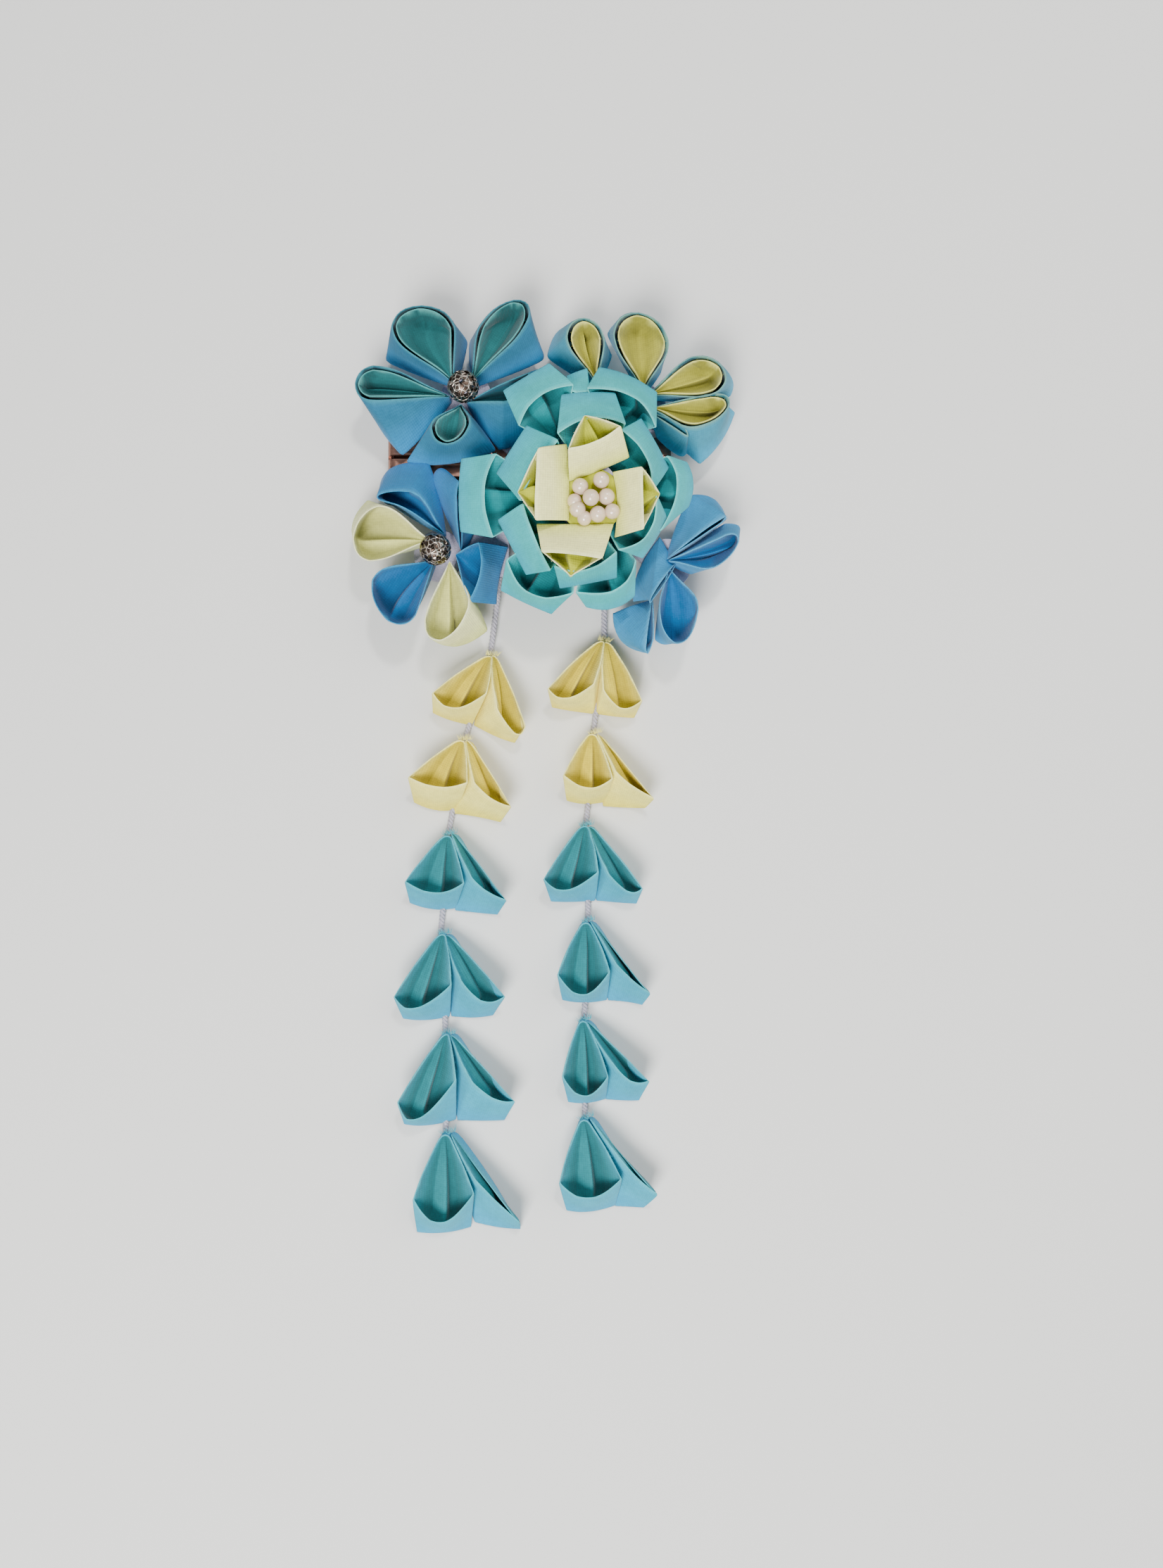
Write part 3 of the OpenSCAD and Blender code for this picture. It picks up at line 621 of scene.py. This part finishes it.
def cottonMaterial(name, outside, inside, seat, foldTone):
    material, tree, shader = newMaterial(name)
    uv = addNode(tree, "ShaderNodeUVMap", uv_map="cloth")
    pitch = cloth["threadPitch"]
    turned = addNode(tree, "ShaderNodeMapping", {0: uv.outputs[0], "Rotation": (0, 0, math.radians(45)),
                                                "Scale": (math.pi / pitch, math.pi / pitch, 1)})
    axes = addNode(tree, "ShaderNodeSeparateXYZ", {0: turned.outputs[0]})
    warp = addNode(tree, "ShaderNodeMath", {0: axes.outputs[0]}, operation="SINE")
    weft = addNode(tree, "ShaderNodeMath", {0: axes.outputs[1]}, operation="SINE")
    cross = addNode(tree, "ShaderNodeMath", {0: warp.outputs[0], 1: weft.outputs[0]}, operation="MULTIPLY")
    weave = addNode(tree, "ShaderNodeMath", {0: cross.outputs[0], 1: 0.5, 2: 0.5}, operation="MULTIPLY_ADD")
    place = addNode(tree, "ShaderNodeTexCoord")
    mottle = addNode(tree, "ShaderNodeTexNoise", {0: place.outputs["Object"],
                                                 "Scale": 1 / (cloth["mottleSize"] * mm), "Detail": 4})
    grain = addNode(tree, "ShaderNodeTexNoise", {0: place.outputs["Object"],
                                                "Scale": 1 / (cloth["grainSize"] * mm), "Detail": 3})
    fold = addNode(tree, "ShaderNodeAttribute", attribute_name="fold")
    shares = addNode(tree, "ShaderNodeSeparateColor", {0: fold.outputs["Color"]})
    # Painted light and shade towards the seat: low on the walls the outside colour turns to the seat colour,
    # brighter for most blue dyes, darker for the teal, lime and cream ones
    low = addNode(tree, "ShaderNodeMapRange", {0: shares.outputs[2], 1: 0.6, 2: 0.1, 3: 0.0, 4: 0.9})
    tone = addNode(tree, "ShaderNodeMix", {0: low.outputs[0], 6: hexColor(outside), 7: hexColor(seat)},
                   data_type="RGBA")
    # Painted shade and light on the inside: the inside colour, made darker low in the hollows and lighter
    # near the top, stands for shade and reflected light over the cloth's reverse side
    depth = addNode(tree, "ShaderNodeMapRange", {0: shares.outputs[2], 1: 0.1, 2: 0.8, 3: 0.62, 4: 1.15})
    shaded = addNode(tree, "ShaderNodeVectorMath", {0: hexColor(inside)[:3], "Scale": depth.outputs[0]},
                     operation="SCALE")
    tone = addNode(tree, "ShaderNodeMix", {0: shares.outputs[1], 6: tone.outputs[2], 7: shaded.outputs[0]},
                   data_type="RGBA")
    # Wear and a painted highlight along the folded rims: the rim share turns the colour towards the fold
    # colour
    wearAndRimHighlight = addNode(tree, "ShaderNodeMath", {0: shares.outputs[0], 1: 0.75}, operation="MULTIPLY")
    tone = addNode(tree, "ShaderNodeMix", {0: wearAndRimHighlight.outputs[0], 6: tone.outputs[2], 7: hexColor(foldTone)},
                   data_type="RGBA")
    threads = addNode(tree, "ShaderNodeMapRange", {0: weave.outputs[0], 1: 0, 2: 1, 3: 0.93, 4: 1.05})
    # Painted shade read from the shade attribute: darker facets, valleys, tips and the hollow under the rim
    paintedFacetShade = addNode(tree, "ShaderNodeAttribute", attribute_name="shade")
    dye = addNode(tree, "ShaderNodeMapRange", {0: mottle.outputs[0], 1: 0.3, 2: 0.7, 3: 0.90, 4: 1.06})
    slub = addNode(tree, "ShaderNodeMapRange", {0: grain.outputs[0], 1: 0.3, 2: 0.7, 3: 0.93, 4: 1.07})
    light = addNode(tree, "ShaderNodeMath", {0: threads.outputs[0], 1: dye.outputs[0]}, operation="MULTIPLY")
    for share in (slub.outputs[0], paintedFacetShade.outputs["Fac"]):
        light = addNode(tree, "ShaderNodeMath", {0: light.outputs[0], 1: share}, operation="MULTIPLY")
    final = addNode(tree, "ShaderNodeVectorMath", {0: tone.outputs[2], "Scale": light.outputs[0]},
                    operation="SCALE")
    relief = addNode(tree, "ShaderNodeMath", {0: grain.outputs[0], 1: 0.8, 2: weave.outputs[0]},
                     operation="MULTIPLY_ADD")
    bump = addNode(tree, "ShaderNodeBump", {"Height": relief.outputs[0], "Strength": 0.5,
                                           "Distance": 0.00012})
    tree.links.new(final.outputs[0], shader.inputs["Base Color"])
    tree.links.new(bump.outputs[0], shader.inputs["Normal"])
    shader.inputs["Roughness"].default_value = 0.9
    shader.inputs["Specular IOR Level"].default_value = 0.25
    shader.inputs["Sheen Weight"].default_value = 0.12
    shader.inputs["Sheen Roughness"].default_value = 0.5
    return material


cotton = {name: cottonMaterial(name, *tones) for name, tones in dyesAndPaintedShading.items()}
rayon = cordMaterial()
cordFloor = 3.2  # a drop's inside stays above its string, in millimetres

# Raw ends of the cloth where a drop's petals are stitched to the string
fray = {"tipWidth": 2.1, "count": 60, "spread": 1.7, "length": 1.7, "width": 0.11}


def addFray(bm, tip, away, seed):
    dice = random.Random(seed)
    for _ in range(fray["count"]):
        offset = Vector((-away.y, away.x)) * dice.uniform(-1, 1) * fray["spread"]
        start = inFrame(tip.x + offset.x, tip.y + offset.y, dice.uniform(2.6, 4.4))
        way = Vector((away.x + dice.uniform(-0.7, 0.7), away.y + dice.uniform(-0.7, 0.7),
                      dice.uniform(-0.3, 0.5)))
        # the frayed ends take the pale fold colour too: wear and a painted highlight
        addFibre(bm, start, way.normalized(), fray["length"] * dice.uniform(0.4, 1.2), fray["width"],
                 (0.7, 0, 1, 1))


def makeDrops(side):
    made = []
    rows = petals[side + "Drops"]
    for number in range(1, len(rows) // 2 + 1):
        node = f"{side}_drop_{number}"
        low, high = (c.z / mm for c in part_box(node))
        pair = rows[2 * number - 2:2 * number]
        bm = newCloth()
        addPetal(bm, pair[0], low, high, "fan", False, cordFloor, number, fray["tipWidth"])
        addPetal(bm, pair[1], low, low + 0.9 * (high - low), "narrowFan", False, cordFloor, number + 7,
                 fray["tipWidth"])
        tip = (Vector(pair[0][0]) + Vector(pair[1][0])) / 2
        away = (tip - (Vector(pair[0][2]) + Vector(pair[1][2])) / 2).normalized()
        addFray(bm, tip, away, number + 20)
        dye = "yellowCotton" if number < 3 else "seaCotton"
        made.append(makePiece(f"{side}Drop{number}", bm, [cotton[dye]], [node]))
    return made


for side in ("left", "right"):
    made = makeDrops(side)
    makeCord(side + "Twisted", cords[side + "Route"], rayon)
print("strings and drops made")

# Side flowers, by the numbers of their rows: a folded petal has a flat back, the others are round.
# Order says which solid a row stands for, where that isn't the same number
sideFlowers = {
    "teal": {"dye": "blueCotton", "lining": "tealCotton", "folded": (5,), "ridged": (3,)},
    "lime": {"dye": "aquaBlueCotton", "lining": "limeCotton", "folded": (5,), "ridged": (1, 3, 4)},
    "cream": {"dye": "azureCotton", "cream": (1, 3), "folded": (4, 6), "ridged": (1, 2, 3),
              "order": {1: 2, 2: 3, 3: 4, 4: 5, 5: 1, 6: 6}},
    "azure": {"dye": "skyCotton", "folded": (1, 4, 5), "ridged": (2,)},
}
lining = {"inset": 1.05, "taper": 0.8, "lower": 0.25, "lift": 1.6}


# The row of a double petal's inner layer, inside its outer one
def linedRow(row, inset):
    tip, first, back, second = [Vector(spot) for spot in row[:4]]
    middle = (first + second) / 2

    def drawnIn(spot, amount, most):
        away = middle - spot
        return spot + away.normalized() * min(amount, most * away.length)

    rim = [drawnIn(spot, inset, 0.4) for spot in (tip, first, back, second)]
    return rim + [drawnIn(spot, lining["taper"], 0.3) for spot in rim[1:]]


def makeSideFlower(name, flower):
    for number, row in enumerate(petals[name], 1):
        node = f"{name}_petal_{flower.get('order', {}).get(number, number)}"
        low, high = (c.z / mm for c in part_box(node))
        dye = "ivoryCotton" if number in flower.get("cream", ()) else flower["dye"]
        isRound = number not in flower["folded"]
        shape = "ridge" if number in flower["ridged"] else "bowl"
        lined = "lining" in flower and isRound
        bm = newCloth()
        addPetal(bm, row, low, high, "deep" if lined else shape, isRound, 0.6, number)
        makePiece(f"{name}Petal{number}", bm, [cotton[dye]], [node])
        if lined:
            bm = newCloth()
            addPetal(bm, linedRow(row, lining["inset"]), low + lining["lift"], high - lining["lower"], shape,
                     True, 0.4, number + 9)
            makePiece(f"{name}Lining{number}", bm, [cotton[flower["lining"]]], ())


for name, flower in sideFlowers.items():
    makeSideFlower(name, flower)
print("side flowers made")

# Rings of the big flower: the lower ones stay low until they are clear of the ring above
rings = {
    "outer": {"dye": "aquaCotton", "tipLevel": 0.12, "climbPower": 1.3},
    "middle": {"dye": "aquaCotton", "tipLevel": 0.05, "climbPower": 2.2},
    "inner": {"dye": "creamCotton", "tipLevel": 0.4, "climbPower": None},
}
for name, ring in rings.items():
    for number, row in enumerate(petals[name], 1):
        node = f"{name}_petal_{number}"
        low, high = (c.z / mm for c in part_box(node))
        bm = newCloth()
        addPetal(bm, row, low, high, "fan", False, 0.5, number * 3, tipLevel=ring["tipLevel"],
                 climbPower=ring["climbPower"])
        makePiece(f"{name}Petal{number}", bm, [cotton[ring["dye"]]], [node])
print("big flower made")

# The petals' ends, crumpled under the pearls
pit = {"middle": (3.9, -5.0), "radius": 7.8, "level": 27.66, "height": 0.14, "crumple": 2.2,
       "thickness": 0.1, "spokes": 36, "rings": 12}


def onPit(i, j):
    turn, reach = math.tau * i / pit["spokes"], pit["radius"] * j / pit["rings"]
    x, y = pit["middle"][0] + reach * math.cos(turn), pit["middle"][1] + reach * math.sin(turn)
    lift = noise.noise(Vector((x, y, 0)) / pit["crumple"]) * pit["height"]
    return inFrame(x, y, pit["level"] + lift)


bm = newCloth()
for vert in placeGrid(bm, pit["spokes"], pit["rings"], onPit):
    # Painted shade: the cream's shaded inside colour, darkened again by a shade of 0.9
    vert[bm.verts.layers.float_color["fold"]] = (0, 1, 0.55, 1)
    vert[bm.verts.layers.float["shade"]] = 0.9
bmesh.ops.remove_doubles(bm, verts=bm.verts, dist=1e-6)
bmesh.ops.solidify(bm, geom=bm.faces, thickness=pit["thickness"] * mm)
bmesh.ops.recalc_face_normals(bm, faces=bm.faces)
makePiece("pitCloth", bm, [cotton["creamCotton"]], (), 0)


# Pearls of glass paste: creamy, with a soft coat; painted shade turns them darker and pinker towards their
# outline
def pearlMaterial():
    material, tree, shader = newMaterial("pinkishPearl")
    place = addNode(tree, "ShaderNodeTexCoord")
    cloudy = addNode(tree, "ShaderNodeTexNoise", {0: place.outputs["Object"], "Scale": 700, "Detail": 2})
    # painted shade: darker and pinker where the pearl turns away from the camera
    outlineShade = addNode(tree, "ShaderNodeLayerWeight", {"Blend": 0.35})
    tone = addNode(tree, "ShaderNodeMix", {0: outlineShade.outputs["Facing"], 6: hexColor("D2BBA6"),
                                          7: hexColor("9E7772")}, data_type="RGBA")
    tone = addNode(tree, "ShaderNodeMix", {0: cloudy.outputs[0], 6: tone.outputs[2], 7: hexColor("DAC6A6")},
                   data_type="RGBA")
    tree.links.new(tone.outputs[2], shader.inputs["Base Color"])
    shader.inputs["Roughness"].default_value = 0.2
    shader.inputs["Coat Weight"].default_value = 0.9
    shader.inputs["Coat Roughness"].default_value = 0.04
    shader.inputs["Subsurface Weight"].default_value = 0.15
    shader.inputs["Subsurface Scale"].default_value = 0.001
    return material


# Antique silver of the pierced beads: worn bright on its wires, dark in its hollows
def silverMaterial():
    material, tree, shader = newMaterial("antiqueSilver")
    place = addNode(tree, "ShaderNodeTexCoord")
    wires = addNode(tree, "ShaderNodeTexVoronoi", {0: place.outputs["Object"], "Scale": 850},
                    feature="DISTANCE_TO_EDGE")
    ridge = addNode(tree, "ShaderNodeMapRange", {0: wires.outputs[0], 1: 0.02, 2: 0.16, 3: 1.0, 4: 0.0})
    tone = addNode(tree, "ShaderNodeMix", {0: ridge.outputs[0], 6: hexColor("57483F"), 7: hexColor("CDBFB2")},
                   data_type="RGBA")
    bump = addNode(tree, "ShaderNodeBump", {"Height": ridge.outputs[0], "Strength": 0.8, "Distance": 0.0002})
    tree.links.new(tone.outputs[2], shader.inputs["Base Color"])
    tree.links.new(bump.outputs[0], shader.inputs["Normal"])
    shader.inputs["Metallic"].default_value = 1.0
    shader.inputs["Roughness"].default_value = 0.32
    return material


# Pale lilac felt of the base plate: matted fibres, no shine
def feltMaterial():
    material, tree, shader = newMaterial("lilacFelt")
    place = addNode(tree, "ShaderNodeTexCoord")
    fibres = addNode(tree, "ShaderNodeTexNoise", {0: place.outputs["Object"], "Scale": 1800, "Detail": 5,
                                                 "Distortion": 1.5})
    tone = addNode(tree, "ShaderNodeMix", {0: fibres.outputs[0], 6: hexColor("8C869C"),
                                           7: hexColor("C4BFD0")}, data_type="RGBA")
    bump = addNode(tree, "ShaderNodeBump", {"Height": fibres.outputs[0], "Strength": 0.7, "Distance": 0.0003})
    tree.links.new(tone.outputs[2], shader.inputs["Base Color"])
    tree.links.new(bump.outputs[0], shader.inputs["Normal"])
    shader.inputs["Roughness"].default_value = 0.95
    return material


# Rose-brown plated steel of the clip: satin, with fine scratches along its length
def clipMaterial():
    material, tree, shader = newMaterial("rosePlatedSteel")
    place = addNode(tree, "ShaderNodeTexCoord")
    drawn = addNode(tree, "ShaderNodeMapping", {0: place.outputs["Object"], "Scale": (120, 2600, 2600)})
    scratches = addNode(tree, "ShaderNodeTexNoise", {0: drawn.outputs[0], "Scale": 1.0, "Detail": 4})
    tone = addNode(tree, "ShaderNodeMix", {0: scratches.outputs[0], 6: hexColor("8A6356"),
                                           7: hexColor("B98E7C")}, data_type="RGBA")
    rough = addNode(tree, "ShaderNodeMapRange", {0: scratches.outputs[0], 1: 0.3, 2: 0.7, 3: 0.28, 4: 0.46})
    bump = addNode(tree, "ShaderNodeBump", {"Height": scratches.outputs[0], "Strength": 0.25,
                                           "Distance": 0.00005})
    tree.links.new(tone.outputs[2], shader.inputs["Base Color"])
    tree.links.new(rough.outputs[0], shader.inputs["Roughness"])
    tree.links.new(bump.outputs[0], shader.inputs["Normal"])
    shader.inputs["Metallic"].default_value = 1.0
    return material


pearl = pearlMaterial()
silver = silverMaterial()
finishes = {"clip": clipMaterial(), "base": feltMaterial(), "pearls": pearl, "teal_bead": silver,
            "cream_bead": silver}
for node, material in finishes.items():
    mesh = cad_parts[node].data
    mesh.materials.clear()
    mesh.materials.append(material)

# Pearls half hidden by the cream petals: place and size
hiddenPearls = ((-0.3, -5.6, 29.5, 3.6), (2.1, -9.7, 29.4, 3.6), (8.8, -8.1, 29.5, 3.8))
bm = bmesh.new()
for x, y, z, size in hiddenPearls:
    made = bmesh.ops.create_uvsphere(bm, u_segments=24, v_segments=16, radius=size / 2 * mm)["verts"]
    bmesh.ops.translate(bm, verts=made, vec=inFrame(x, y, z))
makePiece("hiddenPearls", bm, [pearl], (), 0)
print("pearls, beads, base and clip finished")

floor = bpy.data.objects.new("floor", bpy.data.meshes.new("floor"))
bm = bmesh.new()
bmesh.ops.create_grid(bm, x_segments=1, y_segments=1, size=1.5)
bmesh.ops.translate(bm, verts=bm.verts, vec=(0, 0, -0.0001))
bm.to_mesh(floor.data)
bm.free()
floorMaterial, floorTree, floorShader = newMaterial("palePaper")
floorShader.inputs["Base Color"].default_value = hexColor("D9D8D4")
floorShader.inputs["Roughness"].default_value = 0.9
floor.data.materials.append(floorMaterial)
scene.collection.objects.link(floor)

# Soft studio light: a large lamp towards the drops, a weaker one opposite, a small one for the glints
lamps = {
    "keyLamp": {"place": (-0.15, -0.55, 0.75), "aim": (0.01, -0.05, 0), "size": 0.4, "power": 14},
    "fillLamp": {"place": (0.6, 0.35, 0.7), "aim": (0.01, -0.05, 0), "size": 0.8, "power": 5},
    "glintLamp": {"place": (0.12, 0.3, 0.7), "aim": (0.01, -0.05, 0), "size": 0.07, "power": 3},
}
for name, lamp in lamps.items():
    light = bpy.data.objects.new(name, bpy.data.lights.new(name, "AREA"))
    light.data.size = lamp["size"]
    light.data.energy = lamp["power"]
    light.location = lamp["place"]
    light.rotation_euler = (Vector(lamp["aim"]) - Vector(lamp["place"])).to_track_quat("-Z", "Y").to_euler()
    scene.collection.objects.link(light)
world = bpy.data.worlds.new("studio")
world.use_nodes = True
world.node_tree.nodes["Background"].inputs[0].default_value = hexColor("E6EBF0")
world.node_tree.nodes["Background"].inputs[1].default_value = 0.45
scene.world = world
